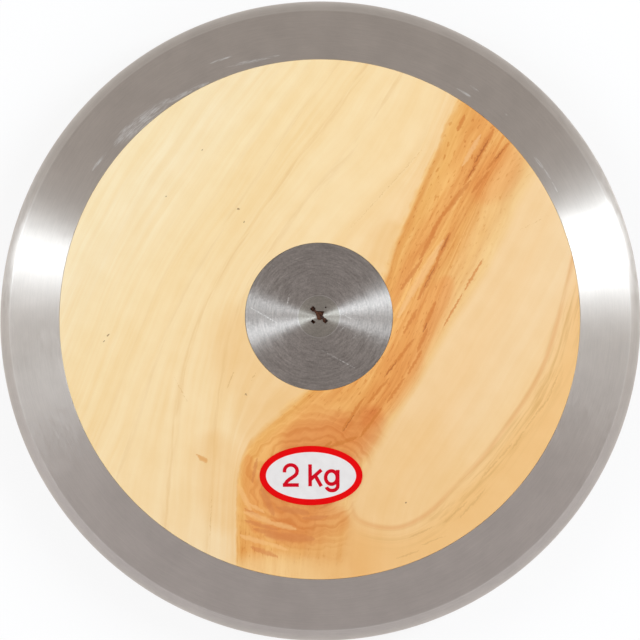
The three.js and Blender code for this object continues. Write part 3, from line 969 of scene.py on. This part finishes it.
# The middle lines of each character's strokes, in millimetres from the middle of the label
CHARACTERS = {
    "2": (
        [(-9.0, 1.1)] + arc((-6.85, 1.62), 2.15, 2.0, 180, 0)
        + [(-4.85, 0.75), (-5.45, 0), (-6.4, -0.65), (-7.4, -1.3), (-8.2, -2), (-8.75, -2.8), (-8.95, -3.6)],
        straight((-9.6, -3.18), (-4.15, -3.18)),
    ),
    "k": (
        straight((-0.3, 3.82), (-0.3, -3.6)),
        straight((-0.2, -1.35), (3.55, 1.95)),
        straight((1.35, 0.1), (3.5, -3.6)),
    ),
    "g": (
        arc((6.95, -0.65), 1.98, 2.24, 0, 360, 48),
        straight((9.1, 1.95), (9.1, -3.3)) + arc((7.15, -3.45), 1.95, 1.6, -6, -165)[1:],
    ),
}

label_low, label_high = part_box("weight_label")
label_middle = (label_low + label_high) / 2
label_reach = (label_high - label_low) / 2


def lay_on_board(piece, height, thickness):
    """Drops a flat piece straight down on to the taper of the front half, and gives it its thickness."""
    modify(
        piece, "SHRINKWRAP", target=front_half, wrap_method="PROJECT", use_project_z=True,
        use_negative_direction=True, use_positive_direction=False, offset=height)
    modify(piece, "SOLIDIFY", thickness=thickness, offset=-1)


def printed_film(name, fineness):
    """Satin vinyl or screen ink: smooth, with an almost even tone and hardly any gloss."""
    material, tree, shader = new_material(name)
    connect(tree, shader, {"Roughness": 0.5, "Specular IOR Level": 0.08})
    metres = add(tree, "TexCoord").outputs["Object"]
    return material, tree, shader, metres, add(tree, "TexNoise", [metres, fineness, 3.0])


vinyl, tree, shader, metres, grain = printed_film("printed_satin_vinyl", VINYL_FINENESS)
field = add(tree, "Mapping", {
    "Vector": metres, "Location": (label_middle.x, label_middle.y, 0),
    "Scale": (FIELD_HALF_WIDTH, FIELD_HALF_HEIGHT, 1)}, vector_type="TEXTURE")
border = add(tree, "VectorMath", [field], operation="LENGTH")
border = add(tree, "MapRange", [border, 0.995, 1.005])
white = add(tree, "ValToRGB", [grain], stops=zip(NOISE, ("#e4dfdb", "#eae6e2")))
red = add(tree, "ValToRGB", [grain], stops=zip(NOISE, ("#e20002", "#e90004")))
connect(tree, shader, {"Base Color": tinted(tree, white, [(border, 1.0, red)])})

label = start_piece(
    "oval_weight_label", bpy.ops.mesh.primitive_circle_add, vertices=LABEL_STEPS, radius=1,
    location=(label_middle.x, label_middle.y, START_HEIGHT))
bpy.ops.transform.resize(value=(label_reach.x, label_reach.y, 1), center_override=label.location)
bpy.ops.mesh.fill_grid(span=LABEL_STEPS // 4, offset=LABEL_STEPS // 8)
bpy.ops.mesh.normals_make_consistent(inside=False)
settle()
lay_on_board(label, LABEL_FILM + LABEL_THICKNESS, LABEL_THICKNESS)
finish(label, vinyl, "label_vinyl", "weight_label")

ink, tree, shader, metres, grain = printed_film("red_screen_ink", INK_FINENESS)
tone = add(tree, "ValToRGB", [grain], stops=zip(NOISE, ("#c80018", "#d6021e")))
connect(tree, shader, {"Base Color": tone})
for character, strokes in CHARACTERS.items():
    walls = []
    for points in strokes:
        path = [(x * MM, y * MM, 0) for x, y in points]
        wall = start_piece(
            "stroke", bpy.ops.mesh.primitive_plane_add, size=STROKE,
            location=(label_middle.x + path[0][0], label_middle.y + path[0][1], START_HEIGHT))
        bpy.ops.mesh.select_mode(type="VERT")
        bpy.ops.mesh.merge(type="CENTER")
        extrude_along(path)
        bpy.ops.mesh.select_all(action="SELECT")
        bpy.ops.mesh.remove_doubles(threshold=DOUBLE)
        bpy.ops.mesh.extrude_edges_move(TRANSFORM_OT_translate={"value": (0, 0, STROKE_HEIGHT)})
        bpy.ops.object.mode_set(mode="OBJECT")
        modify(wall, "SOLIDIFY", thickness=STROKE, offset=0, use_even_offset=True)
        bpy.ops.object.transform_apply(location=True, rotation=True, scale=True)
        walls.append(wall)
    printed = walls[0]
    printed.name = f"printed_character_{character}"
    combine(printed, walls[1:], "UNION")
    bpy.ops.object.mode_set(mode="EDIT")
    pick(printed, "FACE", lambda place, normal: normal.z < FACING)
    bpy.ops.mesh.delete(type="FACE")
    bpy.ops.object.mode_set(mode="OBJECT")
    lay_on_board(printed, LABEL_FILM + LABEL_THICKNESS + INK, INK)
    finish(printed, ink, "label_vinyl")
